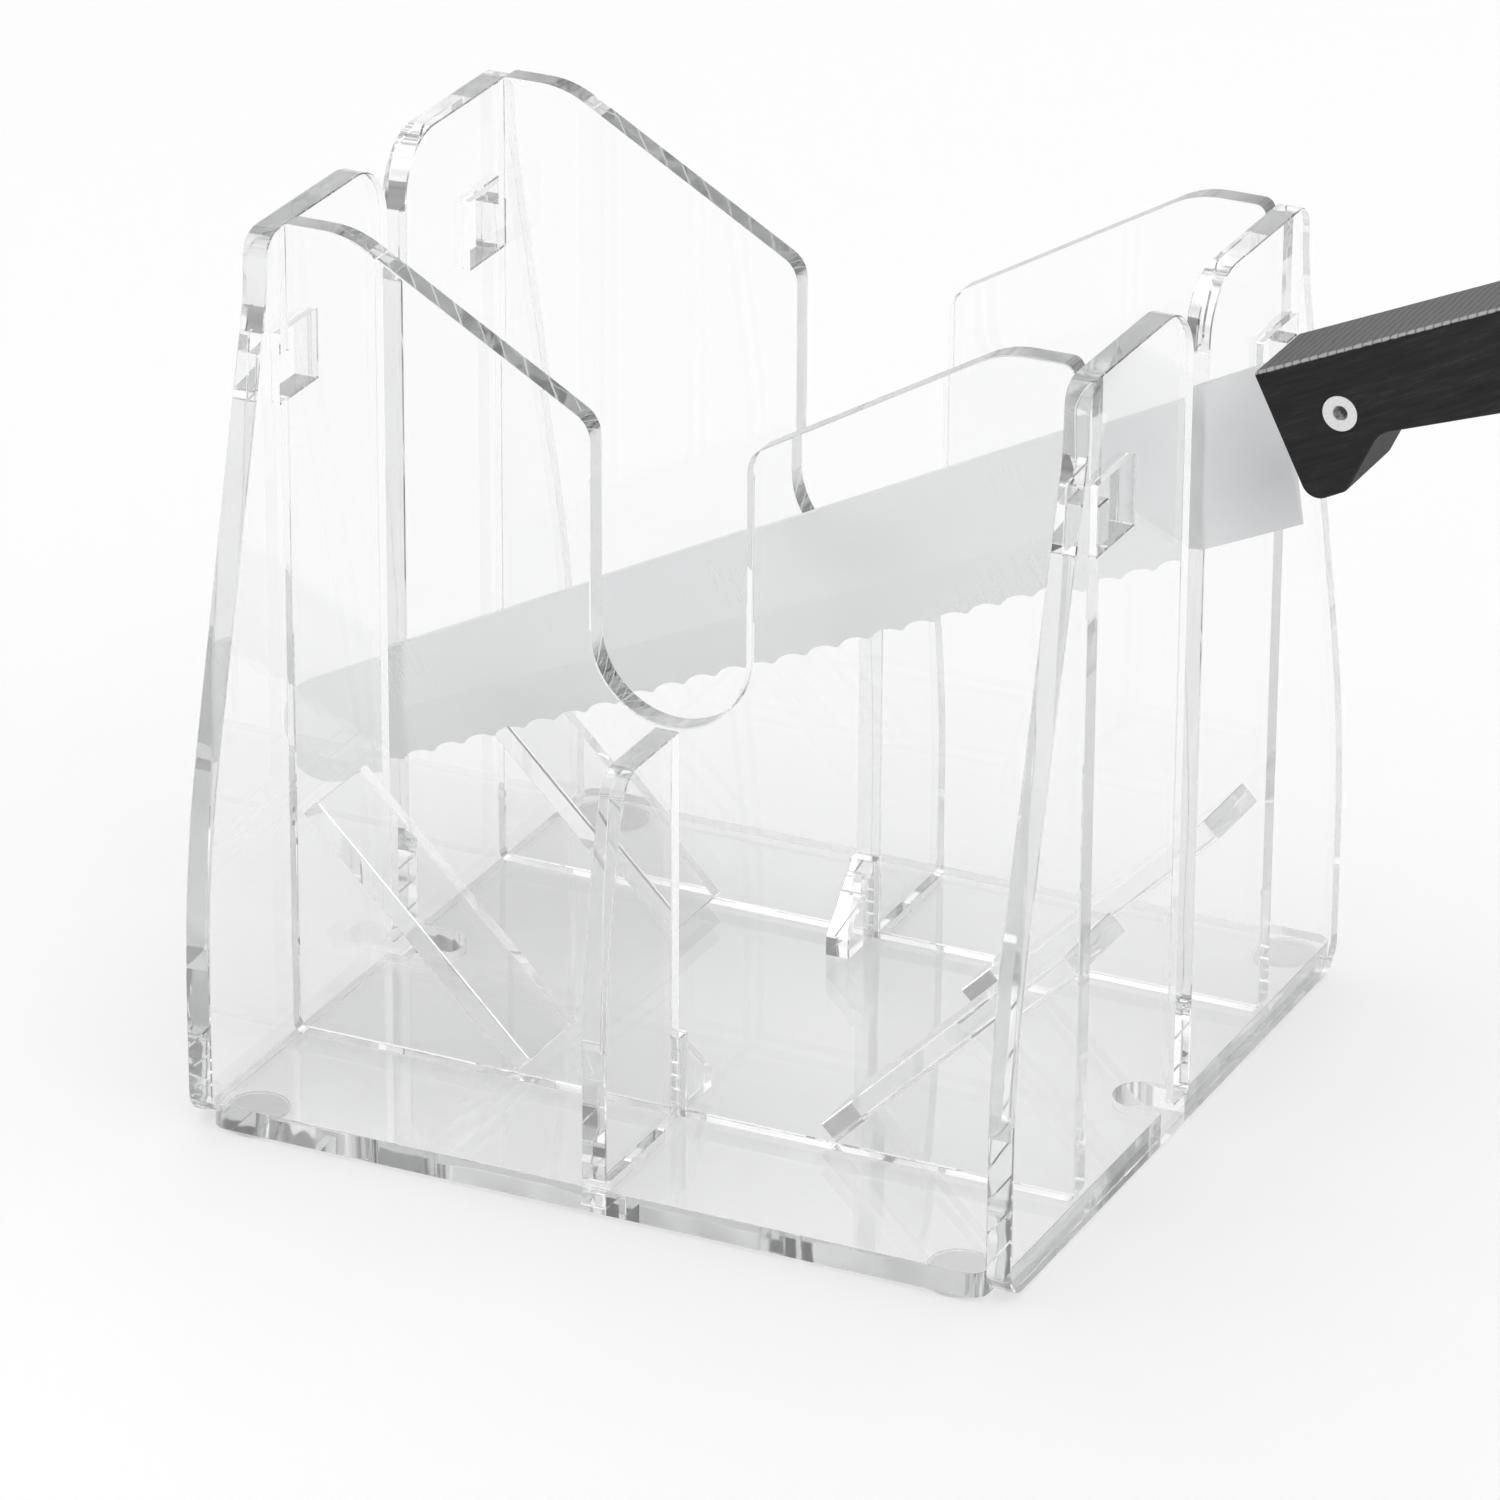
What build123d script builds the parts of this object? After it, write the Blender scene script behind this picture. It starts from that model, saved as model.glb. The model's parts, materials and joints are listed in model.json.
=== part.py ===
from build123d import *
from math import atan, radians, sin, tan
import os

# Slicing stand of clear sheet, cut flat and slotted together, with a loose long knife in its two slots.
# X runs to the right along the knife, Y to the rear, Z up.
# The origin is the centre of the base plate's underside. All sizes are in millimetres.

# Sheet stock and fits
sheet = 4.5
fit_gap = 0.05
overrun = 2.0

# Overall sizes of the stand
stand_width = 150.0
stand_depth = 141.6
wall_height = 149.5

# Side walls: the base reaches past them by the lip, and each bend takes this much of the lines beside it
base_lip = 1.2
wall_top_half_depth = 45.3
wall_knee_height = 45.0
wall_shoulder_drop = 10.5
wall_foot_radius = 5.0
wall_knee_bend = 20.3
wall_shoulder_bend = 5.7
wall_top_radius = 4.5
slot_mouth_radius = 10.5
slot_floor_radius = 1.0

# Knife slot in each side wall
knife_slot_width = 6.5
knife_slot_floor = 5.5

# Hook holes in the side walls, which take the panels' side hooks
hook_drop = 30.5
hook_hole_height = 12.0
hook_hole_depth = 14.8
hook_height = 8.5

# Base plate
base_corner_radius = 3.0
notch_length = 10.5
notch_width = 10.0

# Front and rear panels
panel_face = 41.3
panel_rise = 1.1
panel_foot_radius = 1.8
panel_top_radius = 2.0
panel_ear_width = 12.5
panel_slope = 30.0
panel_shoulder_radius = 16.0
panel_lip_radius = 5.0
finger_cut_half_width = 14.0
finger_cut_floor = 75.0

# Struts that brace each panel from outside, with two tabs along the foot as shares of its length
strut_setback = 1.0
strut_drop = 0.4
strut_top_radius = 5.5
toe_top = 18.9
toe_shelf = 0.8
toe_reach = 27.0
tab_shares = ((0.2, 0.48), (0.652, 0.945))

# Sloping ramps that centre the bread, of thinner sheet
ramp_sheet = 4.0
ramp_angle = 45.0
ramp_rise = 39.7
ramp_wall_gap = 1.2
ramp_edge = 19.4

# Stick-on feet
foot_radius = 5.25
foot_height = 0.8
foot_side_inset = 6.4
foot_end_inset = 5.6
foot_edge_radius = 0.3

# Knife placing: where the spine meets the handle, past the wall and below its top, and the tilt it is held at
knife_standoff = 13.0
knife_drop = 9.65
knife_tilt = 26.57

# Knife blade, along the spine from the handle
blade_thickness = 2.0
blade_reach = 209.7
heel_setback = 7.5
heel_height = 26.8
edge_taper = 2.37
tip_spine_radius = 10.0
tip_edge_radius = 8.0
bevel_height = 9.0
edge_thickness = 0.4
scallop_pitch = 6.4
scallop_radius = 5.2
scallop_depth = 0.9
plain_heel_length = 22.0
plain_tip_length = 16.0
tang_drop = 4.0
tang_height = 10.0
tang_cover = 12.0

# Knife handle, along the spine from its front end
handle_width = 19.0
handle_length = 118.0
handle_crown = 1.2
handle_mid_share = 0.51
handle_mid_drop = 1.6
butt_drop = 2.2
guard_depth = 21.8
guard_length = 7.0
choil_end = 16.4
choil_depth = 14.4
belly_depth = 20.0
swell_length = 15.0
swell_depth = 24.5
butt_depth = 22.5
handle_edge_radius = 0.7
guard_front_radius = 3.0
guard_back_radius = 2.2
choil_radius = 5.0
belly_radius = 70.0
swell_radius = 14.0
butt_radius = 6.0
back_radius = 150.0

# Rivets through the handle and the tang
rivet_radius = 2.95
rivet_proud = 0.15
rivet_drop = 9.3
first_rivet = 11.7
last_rivet_setback = 23.0
rivet_count = 3
recess_radius = 1.35
recess_depth = 1.1
tang_hole_gap = 0.2

# Values worked out from the sizes above
wall_inside = stand_width / 2 - sheet
base_half_depth = stand_depth / 2
wall_half_depth = base_half_depth - base_lip
wall_shoulder_height = wall_height - wall_shoulder_drop
wall_taper = (wall_half_depth - wall_top_half_depth) / (wall_shoulder_height - wall_knee_height)
hook_floor = wall_height - hook_drop
panel_back = panel_face - sheet
panel_top = wall_height + panel_rise
panel_flat_end = wall_inside - panel_ear_width
finger_cut_centre = finger_cut_floor + finger_cut_half_width
strut_half_depth = wall_half_depth - strut_setback
strut_top = finger_cut_floor - strut_drop
ramp_foot = wall_inside - ramp_wall_gap - ramp_rise / tan(radians(ramp_angle))
knife_x = stand_width / 2 + knife_standoff
knife_z = wall_height - knife_drop
tang_length = handle_length - tang_cover
handle_mid = handle_length * handle_mid_share
heel_swell_start = handle_length - swell_length
last_rivet = handle_length - last_rivet_setback


def rounded(face, corners):
    """Round a flat face at the corners nearest to the given points."""
    for point, radius in corners:
        nearest = face.vertices().sort_by_distance(Vector(*point, 0))[0]
        face = face.fillet_2d(radius, [nearest])
    return face


def mirrored_corners(corners):
    """List each corner and its twin on the other side of the vertical axis."""
    return [((side * x, z), radius) for (x, z), radius in corners for side in (1, -1)]


def outline(points):
    """Make a flat face inside a closed run of straight lines."""
    return make_face(Polyline(*points, close=True)).face()


def side_plate(face, start, thickness):
    """Stand a Y-Z outline up as a plate that begins at X = start."""
    return extrude(Plane.YZ.offset(start) * face, thickness)


def front_plate(face, start, thickness):
    """Stand an X-Z outline up as a plate that runs forward from Y = -start."""
    return extrude(Plane.XZ.offset(start) * face, thickness)


def tab_ends():
    """Distances from the knife's plane at which each of the strut's tabs starts and ends."""
    run = strut_half_depth - panel_face
    return [(panel_face + start * run, panel_face + end * run) for start, end in tab_shares]


def bend_radius(length):
    """Radius of a bend between an upright line and the wall's taper that takes this length of each."""
    return length / tan(atan(wall_taper) / 2)


def base_plate():
    """Rectangular floor with an open knife notch at each end and mortises for the struts."""
    face = RectangleRounded(2 * wall_inside, stand_depth, base_corner_radius)
    reach = notch_length + overrun
    notch = fillet(Rectangle(2 * reach, notch_width).vertices(), notch_width / 2 - fit_gap)
    mortise_width = sheet + 2 * fit_gap
    for side in (1, -1):
        face -= Pos(side * (wall_inside + overrun), 0) * notch
        for start, end in tab_ends():
            middle = side * (start + end) / 2
            face -= Pos(0, middle) * Rectangle(mortise_width, end - start + 2 * fit_gap)
    return extrude(face, sheet)


def wall_face():
    """Tapering wall outline with the knife slot open at the top."""
    half_slot = knife_slot_width / 2
    right = [
        (wall_half_depth, 0),
        (wall_half_depth, wall_knee_height),
        (wall_top_half_depth, wall_shoulder_height),
        (wall_top_half_depth, wall_height),
        (half_slot, wall_height),
        (half_slot, knife_slot_floor),
    ]
    left = [(-y, z) for y, z in reversed(right)]
    radii = [
        wall_foot_radius,
        bend_radius(wall_knee_bend),
        bend_radius(wall_shoulder_bend),
        wall_top_radius,
        slot_mouth_radius,
        slot_floor_radius,
    ]
    return rounded(outline(right + left), mirrored_corners(zip(right, radii)))


def right_side_wall():
    """Side wall with a knife slot and a hook hole towards each end."""
    wall = side_plate(wall_face(), wall_inside, sheet)
    hole = Rectangle(hook_hole_depth, hook_hole_height)
    middle = panel_face + fit_gap - hook_hole_depth / 2
    for side in (1, -1):
        placed = Pos(side * middle, hook_floor + hook_hole_height / 2) * hole
        wall -= side_plate(placed, wall_inside - overrun, sheet + 2 * overrun)
    return wall


def panel_face_outline():
    """Panel outline with side hooks, sloping shoulders, a finger cut and a slot for the strut's toe."""
    half_toe = sheet / 2 + fit_gap
    hook_low = hook_floor + fit_gap
    hook_reach = stand_width / 2
    fall = (panel_flat_end - finger_cut_half_width) * tan(radians(panel_slope))
    lip = panel_top - fall
    right = [
        (half_toe, toe_top + fit_gap),
        (half_toe, sheet),
        (wall_inside, sheet),
        (wall_inside, hook_low),
        (hook_reach, hook_low),
        (hook_reach, hook_low + hook_height),
        (wall_inside, hook_low + hook_height),
        (wall_inside, panel_top),
        (panel_flat_end, panel_top),
        (finger_cut_half_width, lip),
        (finger_cut_half_width, finger_cut_centre),
    ]
    left = [(-x, z) for x, z in reversed(right)]
    corners = [
        ((wall_inside, sheet), panel_foot_radius),
        ((wall_inside, panel_top), panel_top_radius),
        ((panel_flat_end, panel_top), panel_shoulder_radius),
        ((finger_cut_half_width, lip), panel_lip_radius),
    ]
    return rounded(outline(right + left), mirrored_corners(corners))


def front_panel():
    """Panel that holds one side of the bread, hooked into both walls."""
    panel = front_plate(panel_face_outline(), panel_back, sheet)
    round_end = Pos(0, finger_cut_centre) * Circle(finger_cut_half_width)
    return panel - front_plate(round_end, panel_back - overrun, sheet + 2 * overrun)


def rear_strut():
    """Upright brace outside the panel, with a toe through it and two tabs into the base."""
    top_reach = strut_half_depth - wall_taper * (strut_top - wall_knee_height)
    shelf_end = panel_back + toe_shelf
    toe_tip = toe_top - (shelf_end - toe_reach)
    points = [(toe_reach, sheet)]
    for start, end in tab_ends():
        points += [(start, sheet), (start, 0), (end, 0), (end, sheet)]
    points += [
        (strut_half_depth, sheet),
        (strut_half_depth, wall_knee_height),
        (top_reach, strut_top),
        (panel_face, strut_top),
        (panel_face, toe_top),
        (shelf_end, toe_top),
        (toe_reach, toe_tip),
    ]
    corners = [
        ((strut_half_depth, wall_knee_height), bend_radius(wall_knee_bend)),
        ((top_reach, strut_top), strut_top_radius),
    ]
    return side_plate(rounded(outline(points), corners), -sheet / 2, sheet)


def front_right_ramp():
    """Sloping strip whose lower end stands on the base and whose long side meets the panel."""
    strip = Rectangle(ramp_rise / sin(radians(ramp_angle)), ramp_sheet, align=Align.MIN)
    placed = Pos(ramp_foot, sheet) * Rot(0, 0, ramp_angle) * strip
    return front_plate(placed, ramp_edge, panel_back - ramp_edge)


def foot(x_side, y_side):
    """Small disc stuck under a corner of the base plate, below a thin film of adhesive."""
    x = x_side * (wall_inside - foot_side_inset)
    y = y_side * (base_half_depth - foot_end_inset)
    disc = Cylinder(foot_radius, foot_height, align=(Align.CENTER, Align.CENTER, Align.MAX))
    disc = fillet(disc.edges().sort_by(Axis.Z)[0], foot_edge_radius)
    return Pos(x, y, -fit_gap) * disc


def knife_place(shape):
    """Move a knife piece from its own frame to where the knife is held."""
    return Pos(knife_x, 0, knife_z) * Rot(0, -knife_tilt, 0) * shape


def flat_knife_plate(face, thickness):
    """Thicken an outline equally to both sides of the knife's middle plane."""
    return extrude(Plane.XZ * face, thickness / 2, both=True)


def edge_height(run):
    """Height of the straight cutting edge at a distance from the handle."""
    return (run - heel_setback) * tan(radians(edge_taper)) - heel_height


def blade_outline():
    """Blade and tang in one outline, with a rounded tip and a scalloped edge."""
    tang_low = -tang_drop - tang_height
    tip_low = (-blade_reach, edge_height(blade_reach))
    points = [
        (0, 0),
        (0, -tang_drop),
        (tang_length, -tang_drop),
        (tang_length, tang_low),
        (tang_low * heel_setback / heel_height, tang_low),
        (-heel_setback, -heel_height),
        tip_low,
        (-blade_reach, 0),
    ]
    face = rounded(outline(points), [(tip_low, tip_edge_radius), ((-blade_reach, 0), tip_spine_radius)])
    run = heel_setback + plain_heel_length
    while run < blade_reach - plain_tip_length:
        centre = Pos(-run, edge_height(run) - scallop_radius + scallop_depth)
        face -= centre * Circle(scallop_radius)
        run += scallop_pitch
    return face


def bevel_cutter():
    """Long wedge that grinds one side of the blade down to the edge."""
    half = blade_thickness / 2
    thinning = (half - edge_thickness / 2) / bevel_height
    below = scallop_depth + overrun
    section = [
        (bevel_height, half),
        (bevel_height, half + overrun),
        (-below, half + overrun),
        (-below, half - thinning * (bevel_height + below)),
    ]
    across = Plane(origin=(overrun, 0, 0), x_dir=(0, 0, 1), z_dir=(-1, 0, 0))
    wedge = extrude(across * outline(section), blade_reach + 2 * overrun)
    return Pos(-heel_setback, 0, -heel_height) * Rot(0, edge_taper, 0) * wedge


def rivet_places():
    """Distances of the rivets behind the handle's front end, evenly spaced."""
    step = (last_rivet - first_rivet) / (rivet_count - 1)
    return [first_rivet + index * step for index in range(rivet_count)]


def across_knife(radius, length):
    """Round bar along Y, centred on the knife's middle plane."""
    return Rot(90, 0, 0) * Cylinder(radius, length)


def knife_blade():
    """Scalloped steel blade with a tang that the rivets pass through."""
    blade = flat_knife_plate(blade_outline(), blade_thickness)
    cutter = bevel_cutter()
    blade -= cutter
    blade -= mirror(cutter, about=Plane.XZ)
    for place in rivet_places():
        hole = across_knife(rivet_radius + tang_hole_gap, blade_thickness + 2 * overrun)
        blade -= Pos(place, 0, -rivet_drop) * hole
    return knife_place(blade)


def handle_outline():
    """Handle outline with a finger guard, a waist and a swelling at the end."""
    corners = [
        ((fit_gap, handle_crown), handle_edge_radius),
        ((fit_gap, -guard_depth), guard_front_radius),
        ((guard_length, -guard_depth), guard_back_radius),
        ((choil_end, -choil_depth), choil_radius),
        ((handle_mid, -belly_depth), belly_radius),
        ((heel_swell_start, -swell_depth), swell_radius),
        ((handle_length, -butt_depth), butt_radius),
        ((handle_length, -butt_drop), butt_radius),
        ((handle_mid, -handle_mid_drop), back_radius),
    ]
    return rounded(outline([point for point, radius in corners]), corners)


def knife_handle():
    """Moulded grip with a blind pocket for the tang and bores for the rivets."""
    grip = flat_knife_plate(handle_outline(), handle_width)
    side_edges = grip.faces().sort_by(Axis.Y)[0].edges() + grip.faces().sort_by(Axis.Y)[-1].edges()
    grip = fillet(side_edges, handle_edge_radius)
    pocket = Box(
        tang_length + overrun + fit_gap,
        blade_thickness + 2 * fit_gap,
        tang_height + 2 * fit_gap,
        align=(Align.MIN, Align.CENTER, Align.CENTER),
    )
    grip -= Pos(-overrun, 0, -tang_drop - tang_height / 2) * pocket
    for place in rivet_places():
        bore = across_knife(rivet_radius + fit_gap, handle_width + 2 * overrun)
        grip -= Pos(place, 0, -rivet_drop) * bore
    return knife_place(grip)


def knife_rivets():
    """Rivets that join the handle and the tang, each with a small recess in both heads."""
    half_length = handle_width / 2 + rivet_proud
    recess = Cone(0, recess_radius, recess_depth, align=(Align.CENTER, Align.CENTER, Align.MAX))
    rivet = Cylinder(rivet_radius, 2 * half_length)
    rivet -= Pos(0, 0, half_length) * recess
    rivet -= mirror(Pos(0, 0, half_length) * recess, about=Plane.XY)
    rivet = Rot(90, 0, 0) * rivet
    return Compound([knife_place(Pos(place, 0, -rivet_drop) * rivet) for place in rivet_places()])


def stand_nodes():
    """Name every piece of the stand."""
    wall = right_side_wall()
    panel = front_panel()
    strut = rear_strut()
    ramp = front_right_ramp()
    left_ramp = mirror(ramp, about=Plane.YZ)
    nodes = {
        "base_plate": base_plate(),
        "right_side_wall": wall,
        "left_side_wall": mirror(wall, about=Plane.YZ),
        "front_panel": panel,
        "rear_panel": mirror(panel, about=Plane.XZ),
        "front_strut": mirror(strut, about=Plane.XZ),
        "rear_strut": strut,
        "front_right_ramp": ramp,
        "front_left_ramp": left_ramp,
        "rear_right_ramp": mirror(ramp, about=Plane.XZ),
        "rear_left_ramp": mirror(left_ramp, about=Plane.XZ),
    }
    for y_name, y_side in (("front", -1), ("rear", 1)):
        for x_name, x_side in (("left", -1), ("right", 1)):
            nodes[f"{y_name}_{x_name}_foot"] = foot(x_side, y_side)
    return nodes


def knife_nodes():
    """Name every piece of the knife."""
    return {
        "knife_blade": knife_blade(),
        "knife_handle": knife_handle(),
        "knife_rivets": knife_rivets(),
    }


os.makedirs("parts", exist_ok=True)
for name, shape in {**stand_nodes(), **knife_nodes()}.items():
    export_step(shape, f"parts/{name}.step")
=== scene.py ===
"""Dresses the slicing stand and its knife: clear sheet, steel, moulded grip and pads, in a pale studio."""

import json
import logging
import math
from dataclasses import dataclass, field
from enum import Enum

import bmesh
import bpy
from mathutils import Matrix, Vector

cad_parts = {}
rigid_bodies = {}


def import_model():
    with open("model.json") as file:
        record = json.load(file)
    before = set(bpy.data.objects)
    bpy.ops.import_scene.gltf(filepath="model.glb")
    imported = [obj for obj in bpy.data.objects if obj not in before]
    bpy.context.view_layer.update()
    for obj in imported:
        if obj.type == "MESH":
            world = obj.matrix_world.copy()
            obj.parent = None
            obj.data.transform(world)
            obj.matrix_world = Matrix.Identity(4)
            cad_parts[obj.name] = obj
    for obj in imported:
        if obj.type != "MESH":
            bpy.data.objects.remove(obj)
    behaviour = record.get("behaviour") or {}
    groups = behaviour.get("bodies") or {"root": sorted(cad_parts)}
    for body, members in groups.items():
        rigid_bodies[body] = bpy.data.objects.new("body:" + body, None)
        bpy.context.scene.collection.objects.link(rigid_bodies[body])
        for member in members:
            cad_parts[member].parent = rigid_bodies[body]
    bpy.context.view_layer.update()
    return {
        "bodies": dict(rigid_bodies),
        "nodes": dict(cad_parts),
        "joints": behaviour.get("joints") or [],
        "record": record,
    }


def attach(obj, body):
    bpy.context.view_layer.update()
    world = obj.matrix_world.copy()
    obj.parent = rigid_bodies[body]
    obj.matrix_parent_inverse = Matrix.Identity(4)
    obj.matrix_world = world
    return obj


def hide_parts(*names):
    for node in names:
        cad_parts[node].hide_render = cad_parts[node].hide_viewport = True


LOG = logging.getLogger("slicing_stand")
MM = 0.001
CUT_MARK = "cut_edge"

Socket = bpy.types.NodeSocket
Triple = tuple[float, float, float]
Tint = tuple[float, float, float, float]
Span = tuple[float, float]
Stops = tuple[tuple[float, Triple], ...]


def grey(level: float) -> Triple:
    """Return the neutral colour of that level."""
    return (level, level, level)


class Slot(Enum):
    """The record's material slots."""

    SHEET = "clear_sheet"
    PAD = "foot_pad"
    BLADE = "blade_steel"
    GRIP = "handle_grip"
    RIVET = "rivet_steel"


@dataclass(frozen=True)
class KnifeFrame:
    """Where the knife's own axes lie: along the spine, across the blade, and up out of the spine."""

    x: float = 88.0 * MM
    z: float = 139.85 * MM
    tilt: float = math.radians(26.57)

    def start(self) -> Vector:
        """Return the point where the spine meets the handle."""
        return Vector((self.x, 0.0, self.z))


class Graph:
    """A small helper that adds and links the nodes of one material or world."""

    def __init__(self, owner: bpy.types.Material | bpy.types.World, output: str) -> None:
        """Empty the owner's tree and give it its output node.

        Args:
            owner: the material or world.
            output: the output node's type name, without its ShaderNode prefix.
        """
        owner.use_nodes = True
        self.owner = owner
        self.tree = owner.node_tree
        self.tree.nodes.clear()
        self.output = self.add(output)

    @classmethod
    def of_material(cls, name: str) -> "Graph":
        """Start a new material of that name."""
        return cls(bpy.data.materials.new(name), "OutputMaterial")

    @classmethod
    def of_world(cls, name: str) -> "Graph":
        """Start a new world of that name."""
        return cls(bpy.data.worlds.new(name), "OutputWorld")

    def add(self, kind: str, **settings: object) -> bpy.types.Node:
        """Add one node.

        Args:
            kind: the node's type name, without its ShaderNode prefix.
            settings: plain properties of the node.

        Returns:
            The new node.
        """
        node = self.tree.nodes.new(f"ShaderNode{kind}")
        for name, value in settings.items():
            setattr(node, name, value)
        return node

    def link(self, source: Socket, target: Socket) -> None:
        """Link one socket to another."""
        self.tree.links.new(source, target)

    def object_place(self) -> Socket:
        """Return the vector socket of the piece's own coordinates, in metres."""
        return self.add("TexCoord").outputs["Object"]

    def knife_place(self, knife: KnifeFrame) -> Socket:
        """Turn the piece's coordinates into the knife's own axes.

        Args:
            knife: where those axes lie.

        Returns:
            The vector output socket, in metres.
        """
        move = self.add("Mapping", vector_type="TEXTURE")
        move.inputs["Location"].default_value = knife.start()
        move.inputs["Rotation"].default_value = (0.0, -knife.tilt, 0.0)
        self.link(self.object_place(), move.inputs["Vector"])
        return move.outputs["Vector"]

    def axes(self, vector: Socket) -> tuple[Socket, Socket, Socket]:
        """Split a vector into its three parts.

        Args:
            vector: the vector to split.

        Returns:
            The value output sockets of X, Y and Z.
        """
        split = self.add("SeparateXYZ")
        self.link(vector, split.inputs["Vector"])
        return tuple(split.outputs)

    def stretch(self, vector: Socket, scale: Triple) -> Socket:
        """Scale a vector along its axes.

        Args:
            vector: the vector to scale.
            scale: repeats per metre along each axis.

        Returns:
            The vector output socket.
        """
        size = self.add("Mapping")
        size.inputs["Scale"].default_value = scale
        self.link(vector, size.inputs["Vector"])
        return size.outputs["Vector"]

    def noise(self, vector: Socket, scale: float, detail: float = 2.0, rough: float = 0.5) -> Socket:
        """Noise of one value.

        Args:
            vector: where it is read.
            scale: repeats per unit of the vector.
            detail: number of finer layers.
            rough: strength of the finer layers.

        Returns:
            The value output socket.
        """
        node = self.add("TexNoise")
        node.inputs["Scale"].default_value = scale
        node.inputs["Detail"].default_value = detail
        node.inputs["Roughness"].default_value = rough
        self.link(vector, node.inputs["Vector"])
        return node.outputs["Fac"]

    def ramp(self, value: Socket, stops: Stops) -> Socket:
        """Colour ramp.

        Args:
            value: what is looked up.
            stops: positions with their colours.

        Returns:
            The colour output socket.
        """
        node = self.add("ValToRGB")
        elements = node.color_ramp.elements
        while len(elements) < len(stops):
            elements.new(0.5)
        for element, (position, colour) in zip(elements, stops):
            element.position = position
            element.color = (*colour, 1.0)
        self.link(value, node.inputs["Fac"])
        return node.outputs["Color"]

    def remap(self, value: Socket, result: Span, within: Span = (0.0, 1.0)) -> Socket:
        """Map a value from one range to another, held inside it.

        Args:
            value: the value to map.
            result: results at the range's start and end.
            within: the range's start and end.

        Returns:
            The result output socket.
        """
        node = self.add("MapRange")
        names = ("From Min", "From Max", "To Min", "To Max")
        for name, number in zip(names, (*within, *result)):
            node.inputs[name].default_value = number
        self.link(value, node.inputs["Value"])
        return node.outputs["Result"]

    def maths(self, operation: str, first: Socket | float, second: Socket | float = 0.0) -> Socket:
        """One sum of two values, each a socket or a number.

        Args:
            operation: the node's operation.
            first: the first value.
            second: the second value.

        Returns:
            The value output socket.
        """
        node = self.add("Math", operation=operation)
        for socket, value in zip(node.inputs, (first, second)):
            if isinstance(value, (int, float)):
                socket.default_value = value
            else:
                self.link(value, socket)
        return node.outputs["Value"]

    def distance(self, first: Socket, second: Socket) -> Socket:
        """Distance that is so long in one direction and so long square to it.

        Args:
            first: length in the one direction.
            second: length square to it.

        Returns:
            The value output socket.
        """
        squares = [self.maths("MULTIPLY", side, side) for side in (first, second)]
        return self.maths("SQRT", self.maths("ADD", *squares))

    def blend(self, share: Socket, first: Socket, second: Socket) -> Socket:
        """Blend two colours.

        Args:
            share: how much of the second is used.
            first: colour at a share of 0.
            second: colour at a share of 1.

        Returns:
            The colour output socket.
        """
        node = self.add("MixRGB")
        for source, target in zip((share, first, second), node.inputs):
            self.link(source, target)
        return node.outputs["Color"]

    def bump(self, height: Socket, strength: float, distance: float) -> Socket:
        """Turn a height into a normal.

        Args:
            height: the height, from 0 to 1.
            strength: share of the effect.
            distance: depth in metres of a height of 1.

        Returns:
            The normal output socket.
        """
        node = self.add("Bump")
        node.inputs["Strength"].default_value = strength
        node.inputs["Distance"].default_value = distance
        self.link(height, node.inputs["Height"])
        return node.outputs["Normal"]

    def surface(self, **values: object) -> bpy.types.Node:
        """Add the main shader and set its plain inputs.

        Args:
            values: input names with underscores for spaces, and their values.

        Returns:
            The shader node, linked to the output.
        """
        shader = self.add("BsdfPrincipled")
        for name, value in values.items():
            shader.inputs[name.replace("_", " ")].default_value = value
        self.link(shader.outputs["BSDF"], self.output.inputs["Surface"])
        return shader

    def pass_lamps(self, shader: bpy.types.Node, tint: Tint) -> None:
        """Let lamp light straight through a clear surface.

        Args:
            shader: the main shader.
            tint: what the light keeps at each face.
        """
        clear = self.add("BsdfTransparent")
        clear.inputs["Color"].default_value = tint
        mix = self.add("MixShader")
        self.link(self.add("LightPath").outputs["Is Shadow Ray"], mix.inputs["Fac"])
        self.link(shader.outputs["BSDF"], mix.inputs[1])
        self.link(clear.outputs["BSDF"], mix.inputs[2])
        self.link(mix.outputs["Shader"], self.output.inputs["Surface"])


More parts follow.
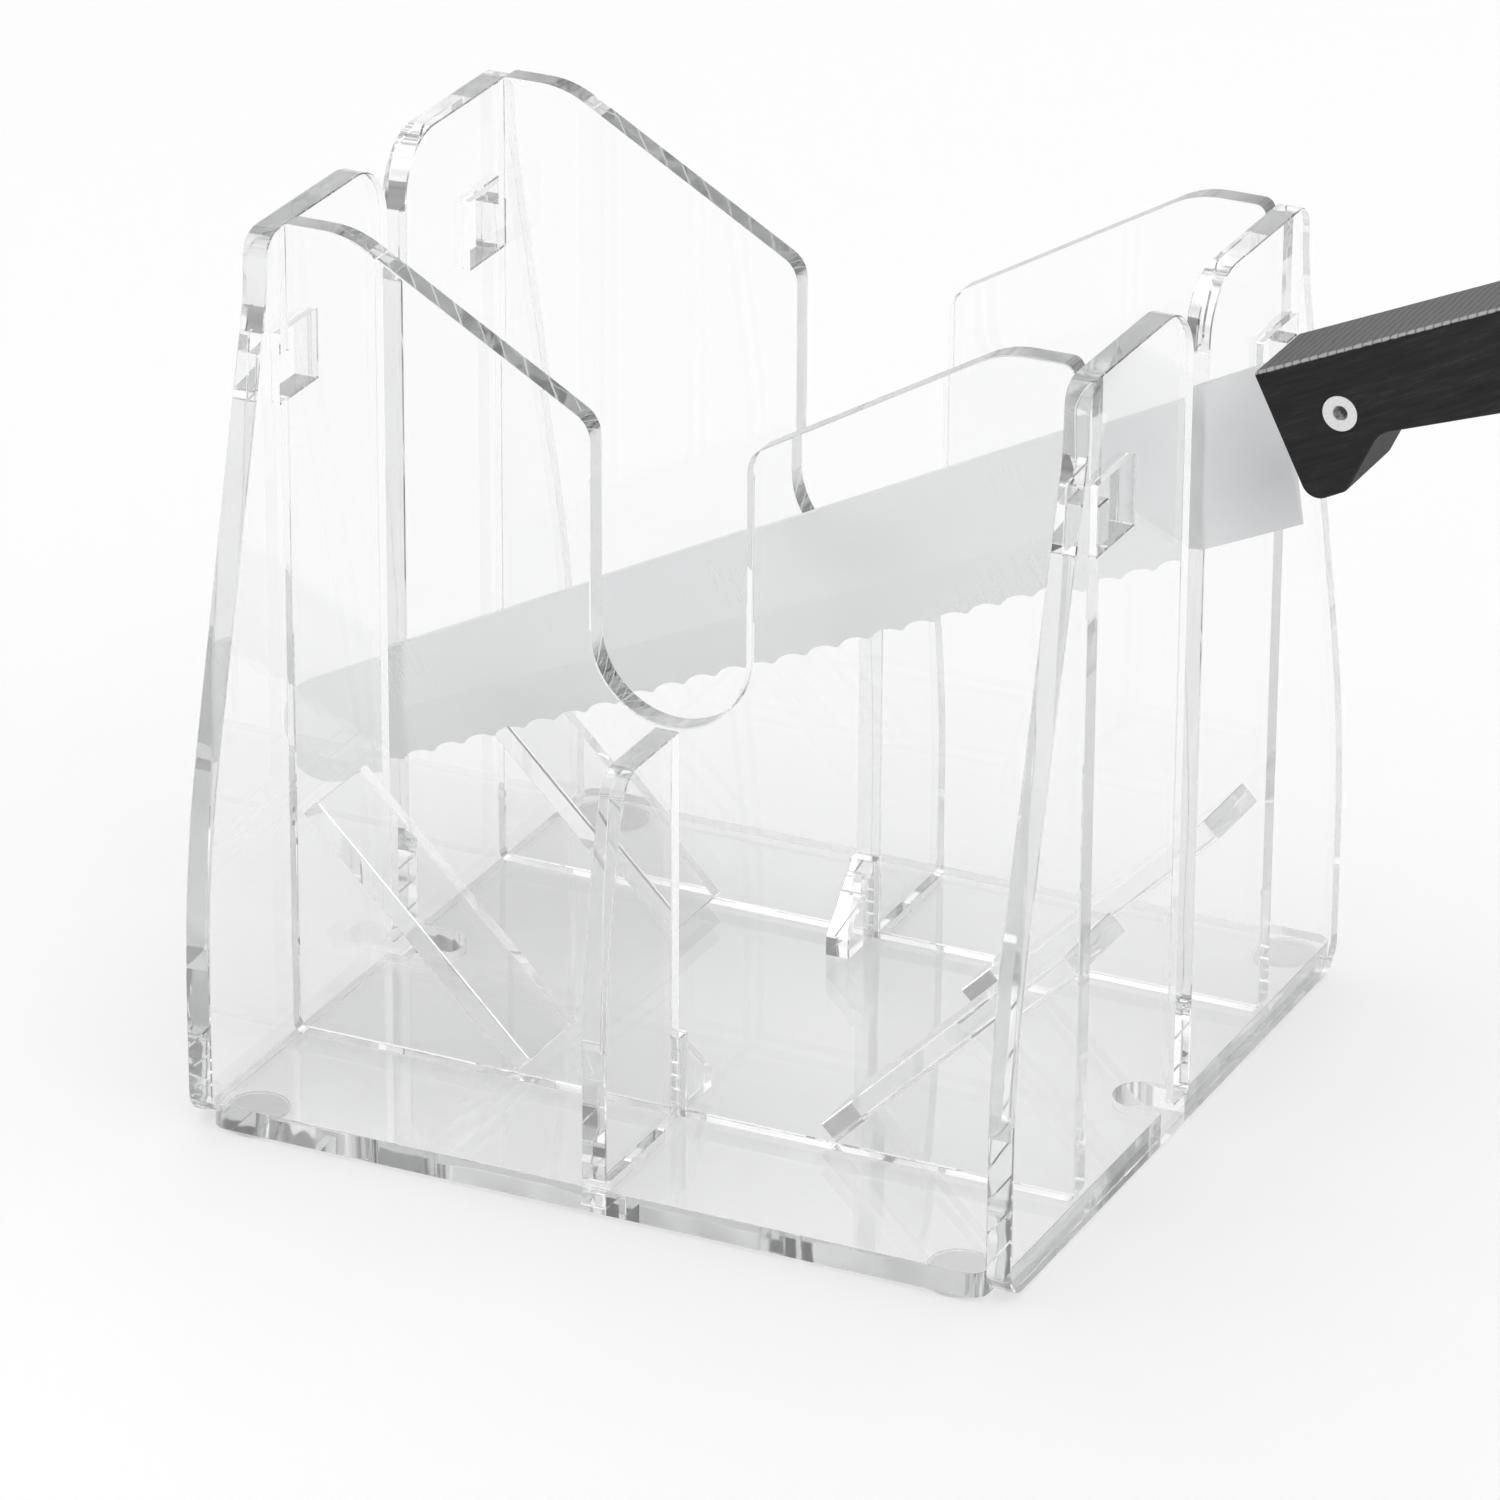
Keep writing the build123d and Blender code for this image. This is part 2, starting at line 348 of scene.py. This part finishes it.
@dataclass(frozen=True)
class ClearSheet:
    """Cast clear sheet: polished faces, softer cut edges, and a grey that gathers with depth."""

    name: str = "clear_cast_sheet"
    index: float = 1.491
    shine: float = 0.5
    tint: Triple = (0.999, 1.0, 1.0)
    smeared_share: float = 0.997
    smear_scale: float = 38.0
    smear_detail: float = 3.0
    tint_within: Span = (0.3, 0.8)
    face_within: Span = (0.45, 0.8)
    face_rough: Span = (0.0, 0.02)
    edge_within: Span = (0.35, 0.65)
    edge_rough: Span = (0.01, 0.04)
    edge_haze: float = 0.01
    wave_scale: float = 55.0
    wave_detail: float = 1.0
    wave_depth: float = 0.3 * MM
    shadow_tint: Tint = (0.997, 0.998, 0.998, 1.0)
    depth_colour: Tint = (0.9, 0.902, 0.902, 1.0)
    depth_density: float = 27.0

    def material(self) -> bpy.types.Material:
        """Build the finish.

        Returns:
            The finished material.
        """
        graph = Graph.of_material(self.name)
        shader = graph.surface(IOR=self.index, Specular_IOR_Level=self.shine)
        place = graph.object_place()
        smear = graph.noise(place, self.smear_scale, self.smear_detail)
        smeared_tint = tuple(self.smeared_share * part for part in self.tint)
        tone = graph.ramp(smear, tuple(zip(self.tint_within, (self.tint, smeared_tint))))
        graph.link(tone, shader.inputs["Base Color"])
        cut = graph.add("Attribute", attribute_name=CUT_MARK).outputs["Fac"]
        face_rough = graph.remap(smear, self.face_rough, self.face_within)
        edge_rough = graph.remap(smear, self.edge_rough, self.edge_within)
        rough = graph.maths("ADD", face_rough, graph.maths("MULTIPLY", cut, edge_rough))
        graph.link(rough, shader.inputs["Roughness"])
        graph.link(graph.remap(cut, (1.0, 1.0 - self.edge_haze)), shader.inputs["Transmission Weight"])
        wave = graph.maths("MULTIPLY", cut, graph.noise(place, self.wave_scale, self.wave_detail))
        graph.link(graph.bump(wave, 1.0, self.wave_depth), shader.inputs["Normal"])
        graph.pass_lamps(shader, self.shadow_tint)
        depth = graph.add("VolumeAbsorption")
        depth.inputs["Color"].default_value = self.depth_colour
        depth.inputs["Density"].default_value = self.depth_density
        graph.link(depth.outputs["Volume"], graph.output.inputs["Volume"])
        return graph.owner


@dataclass(frozen=True)
class FootPad:
    """Soft clear pad, slightly cloudy."""

    name: str = "cloudy_pad"
    index: float = 1.42
    clearness: float = 0.96
    shine: float = 0.4
    pore_scale: float = 900.0
    pore_detail: float = 4.0
    pore_strength: float = 0.2
    pore_depth: float = 0.02 * MM
    tones: Stops = ((0.3, (0.93, 0.92, 0.92)), (0.75, (0.97, 0.965, 0.965)))
    rough: Span = (0.16, 0.3)
    shadow_tint: Tint = (0.97, 0.965, 0.965, 1.0)

    def material(self) -> bpy.types.Material:
        """Build the finish.

        Returns:
            The finished material.
        """
        graph = Graph.of_material(self.name)
        shader = graph.surface(
            IOR=self.index, Transmission_Weight=self.clearness, Specular_IOR_Level=self.shine
        )
        cloud = graph.noise(graph.object_place(), self.pore_scale, self.pore_detail)
        graph.link(graph.ramp(cloud, self.tones), shader.inputs["Base Color"])
        graph.link(graph.remap(cloud, self.rough), shader.inputs["Roughness"])
        graph.link(graph.bump(cloud, self.pore_strength, self.pore_depth), shader.inputs["Normal"])
        graph.pass_lamps(shader, self.shadow_tint)
        return graph.owner


@dataclass(frozen=True)
class BladeSteel:
    """Satin blade steel with a faint grind across its length, and painted shade that makes it greyer beside
    the handle.
    """

    name: str = "satin_blade_steel"
    knife: KnifeFrame = field(default_factory=KnifeFrame)
    line_stretch: Triple = (4200.0, 70.0, 70.0)
    line_strength: float = 0.02
    line_depth: float = 0.01 * MM
    broad_scale: float = 30.0
    broad_detail: float = 1.0
    shade_x: float = -7.0 * MM
    shade_z: float = -17.0 * MM
    shade_reach: float = 20.0 * MM
    pale_tones: Stops = ((0.2, (0.79, 0.795, 0.8)), (0.8, (0.81, 0.815, 0.82)))
    painted_shade_tones: Stops = ((0.2, (0.55, 0.56, 0.575)), (0.8, (0.57, 0.58, 0.595)))
    line_rough: Span = (0.24, 0.27)
    broad_rough: Span = (0.0, 0.06)

    def material(self) -> bpy.types.Material:
        """Build the finish.

        Returns:
            The finished material.
        """
        graph = Graph.of_material(self.name)
        shader = graph.surface(Metallic=1.0)
        place = graph.knife_place(self.knife)
        lines = graph.noise(graph.stretch(place, self.line_stretch), 1.0)
        broad = graph.noise(place, self.broad_scale, self.broad_detail)
        x, _, z = graph.axes(place)
        along = graph.maths("SUBTRACT", x, self.shade_x)
        up = graph.maths("SUBTRACT", z, self.shade_z)
        # Painted shade: near the handle the steel's colour is blended towards a grey copy of it, fading out
        # over shade_reach.
        shade = graph.remap(graph.distance(along, up), (1.0, 0.0), (0.0, self.shade_reach))
        pale = graph.ramp(lines, self.pale_tones)
        shaded = graph.ramp(lines, self.painted_shade_tones)
        graph.link(graph.blend(shade, pale, shaded), shader.inputs["Base Color"])
        rough = graph.maths("ADD", graph.remap(lines, self.line_rough), graph.remap(broad, self.broad_rough))
        graph.link(rough, shader.inputs["Roughness"])
        graph.link(graph.bump(lines, self.line_strength, self.line_depth), shader.inputs["Normal"])
        return graph.owner


@dataclass(frozen=True)
class MouldedGrip:
    """Black grip with a fine grain along it, a back that is scored across and painted grey as a highlight,
    and a painted highlight along the back's edges.
    """

    name: str = "black_grained_grip"
    knife: KnifeFrame = field(default_factory=KnifeFrame)
    shine: float = 0.15
    crown: float = 1.2 * MM
    bend: float = 60.2 * MM
    bend_drop: float = 1.6 * MM
    length: float = 118.0 * MM
    end_drop: float = 2.2 * MM
    grain_stretch: Triple = (130.0, 800.0, 1300.0)
    grain_detail: float = 4.0
    grain_fine: float = 0.65
    black_tones: Stops = (
        (0.3, (0.014, 0.014, 0.014)),
        (0.6, (0.024, 0.023, 0.023)),
        (0.8, (0.042, 0.041, 0.04)),
    )
    ragged_stretch: Triple = (900.0, 200.0, 200.0)
    back_depth: float = 0.35 * MM
    score_pitch: float = 1.6 * MM
    drift_scale: float = 140.0
    drift_detail: float = 1.0
    drift: float = 0.9
    scored_highlight_tones: Stops = ((0.0, grey(0.04)), (0.2, grey(0.1)), (0.6, grey(0.135)))
    rim_highlight_tones: Stops = ((0.0, grey(0.14)), (0.5, grey(0.4)))
    half_width: float = 9.5 * MM
    rim: float = 0.9 * MM
    rim_starts: float = 0.35
    rim_ends: float = 0.1
    rough: Span = (0.5, 0.66)
    score_height: float = 0.6
    bump_strength: float = 0.4
    bump_depth: float = 0.1 * MM

    def above_back(self, graph: Graph, along: Socket, up: Socket) -> Socket:
        """Height above the line of the grip's back.

        Args:
            graph: the material's helper.
            along: distance behind the grip's front.
            up: height above the spine.

        Returns:
            The value output socket, in metres, negative below the back.
        """
        first = (self.crown + self.bend_drop) / self.bend
        second = (self.end_drop - self.bend_drop) / (self.length - self.bend)
        past = graph.maths("MAXIMUM", graph.maths("SUBTRACT", along, self.bend), 0.0)
        steeper = graph.maths("MULTIPLY", past, second - first)
        fall = graph.maths("ADD", graph.maths("MULTIPLY", along, first), steeper)
        return graph.maths("SUBTRACT", graph.maths("ADD", up, fall), self.crown)

    def scoring(self, graph: Graph, place: Socket, along: Socket) -> Socket:
        """Height of the scored lines across the back.

        Args:
            graph: the material's helper.
            place: the knife's own coordinates.
            along: distance behind the grip's front.

        Returns:
            The value output socket, 0 at the bottom of a line and 1 between two.
        """
        drift = graph.maths("MULTIPLY", graph.noise(place, self.drift_scale, self.drift_detail), self.drift)
        turns = graph.maths("ADD", graph.maths("MULTIPLY", along, 1.0 / self.score_pitch), drift)
        return graph.maths("ABSOLUTE", graph.maths("SINE", graph.maths("MULTIPLY", turns, math.pi)))

    def material(self) -> bpy.types.Material:
        """Build the finish.

        Returns:
            The finished material.
        """
        graph = Graph.of_material(self.name)
        shader = graph.surface(Specular_IOR_Level=self.shine)
        place = graph.knife_place(self.knife)
        x, y, z = graph.axes(place)
        stretched = graph.stretch(place, self.grain_stretch)
        grain = graph.noise(stretched, 1.0, self.grain_detail, self.grain_fine)
        black = graph.ramp(grain, self.black_tones)
        ragged = graph.noise(graph.stretch(place, self.ragged_stretch), 1.0)
        deepened = graph.maths("MULTIPLY", ragged, self.back_depth)
        edge = graph.maths("ADD", self.above_back(graph, x, z), deepened)
        back = graph.remap(edge, (0.0, 1.0), (-self.back_depth, -0.5 * self.back_depth))
        score = self.scoring(graph, place, x)
        # Painted highlight: the back of the grip is painted grey, lighter than the black sides, where light
        # falls on its top; the darker score lines in it are real marks.
        scored = graph.ramp(score, self.scored_highlight_tones)
        # Painted highlight: a paler band is painted along both edges of the back, ragged along its length.
        widened = graph.maths("MULTIPLY", ragged, self.rim)
        out = graph.maths("ADD", graph.maths("ABSOLUTE", y), widened)
        rim_start = self.half_width - self.rim_starts * self.rim
        rim_end = self.half_width + self.rim_ends * self.rim
        rim_highlight_share = graph.remap(out, (0.0, 1.0), (rim_start, rim_end))
        rim = graph.ramp(score, self.rim_highlight_tones)
        graph.link(graph.blend(back, black, graph.blend(rim_highlight_share, scored, rim)), shader.inputs["Base Color"])
        graph.link(graph.remap(grain, self.rough), shader.inputs["Roughness"])
        deep = graph.maths("MULTIPLY", graph.maths("MULTIPLY", back, score), self.score_height)
        relief = graph.bump(graph.maths("ADD", grain, deep), self.bump_strength, self.bump_depth)
        graph.link(relief, shader.inputs["Normal"])
        return graph.owner


@dataclass(frozen=True)
class RivetSteel:
    """Satin rivet metal, with painted shade that darkens the recess of each head."""

    name: str = "satin_rivet_metal"
    knife: KnifeFrame = field(default_factory=KnifeFrame)
    first: float = 11.7 * MM
    step: float = 41.65 * MM
    drop: float = 9.3 * MM
    recess: float = 1.35 * MM
    recess_edge: float = 0.8
    scratch_scale: float = 2400.0
    scratch_detail: float = 3.0
    satin_tones: Stops = ((0.3, (0.7, 0.7, 0.71)), (0.7, (0.82, 0.82, 0.83)))
    recess_shade_tones: Stops = ((0.3, grey(0.1)), (0.7, grey(0.24)))
    rough: Span = (0.3, 0.45)

    def material(self) -> bpy.types.Material:
        """Build the finish.

        Returns:
            The finished material.
        """
        graph = Graph.of_material(self.name)
        shader = graph.surface(Metallic=1.0)
        place = graph.knife_place(self.knife)
        x, _, z = graph.axes(place)
        half = 0.5 * self.step
        shifted = graph.maths("ADD", x, half - self.first)
        across = graph.maths("SUBTRACT", graph.maths("MODULO", shifted, self.step), half)
        away = graph.distance(across, graph.maths("ADD", z, self.drop))
        scratch = graph.noise(place, self.scratch_scale, self.scratch_detail)
        satin = graph.ramp(scratch, self.satin_tones)
        recess_shade = graph.ramp(scratch, self.recess_shade_tones)
        # Painted shade: the recess of each head is painted dark, where shade falls.
        inside = graph.remap(away, (1.0, 0.0), (self.recess_edge * self.recess, self.recess))
        graph.link(graph.blend(inside, satin, recess_shade), shader.inputs["Base Color"])
        graph.link(graph.remap(scratch, self.rough), shader.inputs["Roughness"])
        return graph.owner


class Lie(Enum):
    """How a sheet lies in the stand: the direction that its polished faces look in."""

    LEVEL = (0.0, 0.0, 1.0)
    ACROSS = (1.0, 0.0, 0.0)
    ALONG = (0.0, 1.0, 0.0)
    RIGHT_SLOPE = (-0.7071, 0.0, 0.7071)
    LEFT_SLOPE = (0.7071, 0.0, 0.7071)


def dress(node: bpy.types.Object, material: bpy.types.Material) -> None:
    """Give one CAD node its slot and its finish.

    Args:
        node: the CAD node's object.
        material: the finish.
    """
    node.data.materials.clear()
    node.data.materials.append(material)
    LOG.info("%s is dressed in %s", node.name, material.name)


@dataclass
class ClearStand:
    """The stand's clear sheets: polished faces, cut edges and a fine arris where they meet."""

    finish: ClearSheet = field(default_factory=ClearSheet)
    body: str = "stand"
    merge: float = 0.001 * MM
    arris: float = 0.2 * MM
    joint_gap: float = 0.02 * MM
    sharp: float = math.radians(30.0)
    flat: float = math.radians(0.2)
    face_dot: float = 0.985
    sheets: tuple[tuple[str, Lie], ...] = (
        ("base_plate", Lie.LEVEL),
        ("left_side_wall", Lie.ACROSS),
        ("right_side_wall", Lie.ACROSS),
        ("front_panel", Lie.ALONG),
        ("rear_panel", Lie.ALONG),
        ("front_strut", Lie.ACROSS),
        ("rear_strut", Lie.ACROSS),
        ("front_left_ramp", Lie.LEFT_SLOPE),
        ("rear_left_ramp", Lie.LEFT_SLOPE),
        ("front_right_ramp", Lie.RIGHT_SLOPE),
        ("rear_right_ramp", Lie.RIGHT_SLOPE),
    )

    def ease(self, shape: bmesh.types.BMesh) -> None:
        """Draw a sheet in by the thin gap of a joint.

        Args:
            shape: the sheet, changed in place.
        """
        shape.normal_update()
        steps = [(vert, vert.normal * (vert.calc_shell_factor() * self.joint_gap)) for vert in shape.verts]
        for vert, step in steps:
            vert.co -= step

    def cut_sheet(self, node: bpy.types.Object, lie: Lie) -> bpy.types.Object:
        """Make the finished sheet of one CAD node: merged, drawn in, with every sharp edge broken.

        Args:
            node: the CAD node's object.
            lie: the way that its polished faces look.

        Returns:
            The sheet's object, with its cut edges marked.
        """
        shape = bmesh.new()
        shape.from_mesh(node.data)
        bmesh.ops.remove_doubles(shape, verts=shape.verts, dist=self.merge)
        bmesh.ops.dissolve_limit(shape, angle_limit=self.flat, verts=shape.verts, edges=shape.edges)
        self.ease(shape)
        keen = [edge for edge in shape.edges if edge.is_manifold and edge.calc_face_angle() > self.sharp]
        bmesh.ops.bevel(
            shape,
            geom=keen,
            offset=self.arris,
            segments=1,
            profile=0.5,
            affect="EDGES",
            material=-1,
            clamp_overlap=True,
        )
        shape.normal_update()
        mark = shape.faces.layers.float.new(CUT_MARK)
        outward = Vector(lie.value)
        for face in shape.faces:
            face.smooth = True
            face.material_index = 0
            face[mark] = 0.0 if abs(face.normal.dot(outward)) > self.face_dot else 1.0
        mesh = bpy.data.meshes.new(f"clear_{node.name}")
        shape.to_mesh(mesh)
        shape.free()
        mesh.set_sharp_from_angle(angle=self.sharp / 2)
        piece = bpy.data.objects.new(f"clear_{node.name}", mesh)
        bpy.context.scene.collection.objects.link(piece)
        return piece

    def build(self, frame: dict[str, dict]) -> None:
        """Make every sheet and let it stand for its CAD node.

        Args:
            frame: the loaded part, with its nodes by name.
        """
        material = self.finish.material()
        for name, lie in self.sheets:
            piece = self.cut_sheet(frame["nodes"][name], lie)
            piece.data.materials.append(material)
            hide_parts(name)
            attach(piece, self.body)
            LOG.info("%s has %d faces and rides on %s", piece.name, len(piece.data.polygons), self.body)


@dataclass
class Feet:
    """The four pads under the base."""

    finish: FootPad = field(default_factory=FootPad)
    nodes: tuple[str, ...] = ("front_left_foot", "front_right_foot", "rear_left_foot", "rear_right_foot")

    def build(self, frame: dict[str, dict]) -> None:
        """Dress every pad.

        Args:
            frame: the loaded part, with its nodes by name.
        """
        material = self.finish.material()
        for name in self.nodes:
            dress(frame["nodes"][name], material)


@dataclass
class Knife:
    """The knife: blade, grip and rivets."""

    blade: BladeSteel = field(default_factory=BladeSteel)
    grip: MouldedGrip = field(default_factory=MouldedGrip)
    rivets: RivetSteel = field(default_factory=RivetSteel)

    def build(self, frame: dict[str, dict]) -> None:
        """Dress the knife's pieces.

        Args:
            frame: the loaded part, with its nodes by name.
        """
        nodes = frame["nodes"]
        dress(nodes["knife_blade"], self.blade.material())
        dress(nodes["knife_handle"], self.grip.material())
        dress(nodes["knife_rivets"], self.rivets.material())


@dataclass(frozen=True)
class Lamp:
    """One soft square lamp: its name, where it hangs, the side of its square and its watts."""

    name: str
    place: Triple
    side: float
    power: float


@dataclass
class Studio:
    """Pale floor, soft light and the camera that looks as the photograph does."""

    floor_size: float = 12.0
    floor_drop: float = 0.85 * MM
    floor_rough: float = 0.9
    floor_shine: float = 0.1
    mottle_scale: float = 2.0
    floor_tones: Stops = ((0.0, grey(0.96)), (1.0, grey(0.97)))
    focal_pixels: float = 8505.0
    image_pixels: float = 1500.0
    sensor: float = 36.0
    far_clip: float = 50.0
    eye: Triple = (0.5540, -1.1742, 0.6418)
    yaw: float = math.radians(25.449)
    pitch: float = math.radians(24.357)
    roll: float = math.radians(0.304)
    aim: Triple = (0.0, 0.0, 0.07)
    bounces: int = 96
    cloud_scale: float = 7.0
    cloud_detail: float = 1.0
    cloud_within: Span = (0.3, 0.6)
    cloud_level: float = 0.34
    back_within: Span = (0.7, 0.95)
    back_level: float = 0.4
    shaded_side: Triple = (0.5, 1.0, 0.0)
    sky_strength: float = 1.26
    sky_tones: Stops = (
        (0.0, grey(1.0)),
        (0.12, grey(0.95)),
        (0.28, grey(0.88)),
        (0.4, grey(0.9)),
        (0.52, grey(1.0)),
        (0.8, grey(1.0)),
        (1.0, grey(0.85)),
    )
    lamps: tuple[Lamp, ...] = (
        Lamp("key_lamp", (-0.9, -0.9, 1.6), 1.2, 4.0),
        Lamp("fill_lamp", (1.3, -0.6, 1.2), 1.0, 2.5),
        Lamp("back_lamp", (0.3, 1.4, 1.5), 1.2, 3.0),
    )

    def floor(self) -> None:
        """Lay the pale floor under the feet."""
        mesh = bpy.data.meshes.new("studio_floor")
        shape = bmesh.new()
        bmesh.ops.create_grid(shape, x_segments=1, y_segments=1, size=self.floor_size / 2)
        bmesh.ops.translate(shape, verts=shape.verts, vec=(0.0, 0.0, -self.floor_drop))
        shape.to_mesh(mesh)
        shape.free()
        piece = bpy.data.objects.new("studio_floor", mesh)
        bpy.context.scene.collection.objects.link(piece)
        graph = Graph.of_material("pale_floor")
        shader = graph.surface(Roughness=self.floor_rough, Specular_IOR_Level=self.floor_shine)
        mottle = graph.noise(graph.object_place(), self.mottle_scale)
        graph.link(graph.ramp(mottle, self.floor_tones), shader.inputs["Base Color"])
        mesh.materials.append(graph.owner)

    def camera(self) -> None:
        """Stand the camera where the photograph was taken from."""
        data = bpy.data.cameras.new("photo_camera")
        data.sensor_width = self.sensor
        data.lens = self.focal_pixels / self.image_pixels * self.sensor
        data.clip_end = self.far_clip
        camera = bpy.data.objects.new("photo_camera", data)
        bpy.context.scene.collection.objects.link(camera)
        level = math.cos(self.pitch)
        forward = Vector(
            (-math.sin(self.yaw) * level, math.cos(self.yaw) * level, -math.sin(self.pitch))
        )
        right = Vector((math.cos(self.yaw), math.sin(self.yaw), 0.0))
        up = right.cross(forward)
        right_rolled = math.cos(self.roll) * right + math.sin(self.roll) * up
        up_rolled = math.cos(self.roll) * up - math.sin(self.roll) * right
        turn = Matrix((right_rolled, up_rolled, -forward)).transposed()
        camera.matrix_world = Matrix.Translation(self.eye) @ turn.to_4x4()
        bpy.context.scene.camera = camera

    def hang(self, lamp: Lamp) -> None:
        """Hang one lamp so that it faces the stand.

        Args:
            lamp: the lamp to hang.
        """
        data = bpy.data.lights.new(lamp.name, "AREA")
        data.size = lamp.side
        data.energy = lamp.power
        light = bpy.data.objects.new(lamp.name, data)
        light.location = lamp.place
        aim = Vector(self.aim) - Vector(lamp.place)
        light.rotation_euler = aim.to_track_quat("-Z", "Y").to_euler()
        bpy.context.scene.collection.objects.link(light)

    def sky(self) -> None:
        """Surround the stand with a soft grey-to-white room, cloudy and darker behind."""
        graph = Graph.of_world("soft_room")
        direction = graph.add("TexCoord").outputs["Generated"]
        height = graph.axes(direction)[2]
        tone = graph.ramp(height, self.sky_tones)
        clouds = graph.noise(direction, self.cloud_scale, self.cloud_detail)
        soft = graph.remap(clouds, (self.cloud_level, 1.0), self.cloud_within)
        toward = graph.add("VectorMath", operation="DOT_PRODUCT")
        toward.inputs[1].default_value = self.shaded_side
        graph.link(direction, toward.inputs[0])
        back = graph.remap(toward.outputs["Value"], (1.0, self.back_level), self.back_within)
        shade = graph.add("VectorMath", operation="SCALE")
        graph.link(tone, shade.inputs["Vector"])
        graph.link(graph.maths("MULTIPLY", back, soft), shade.inputs["Scale"])
        background = graph.add("Background")
        background.inputs["Strength"].default_value = self.sky_strength
        graph.link(shade.outputs["Vector"], background.inputs["Color"])
        graph.link(background.outputs["Background"], graph.output.inputs["Surface"])
        bpy.context.scene.world = graph.owner

    def build(self) -> None:
        """Set up floor, light and camera."""
        scene = bpy.context.scene
        scene.view_settings.view_transform = "Standard"
        scene.cycles.max_bounces = self.bounces
        scene.cycles.transmission_bounces = self.bounces
        scene.cycles.glossy_bounces = self.bounces
        scene.cycles.transparent_max_bounces = self.bounces
        self.floor()
        self.camera()
        self.sky()
        for lamp in self.lamps:
            self.hang(lamp)


def main() -> None:
    """Load the stand, dress it and set up the studio."""
    logging.basicConfig(level=logging.INFO, format="%(message)s")
    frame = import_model()
    ClearStand().build(frame)
    Feet().build(frame)
    Knife().build(frame)
    Studio().build()


if __name__ == "__main__":
    main()
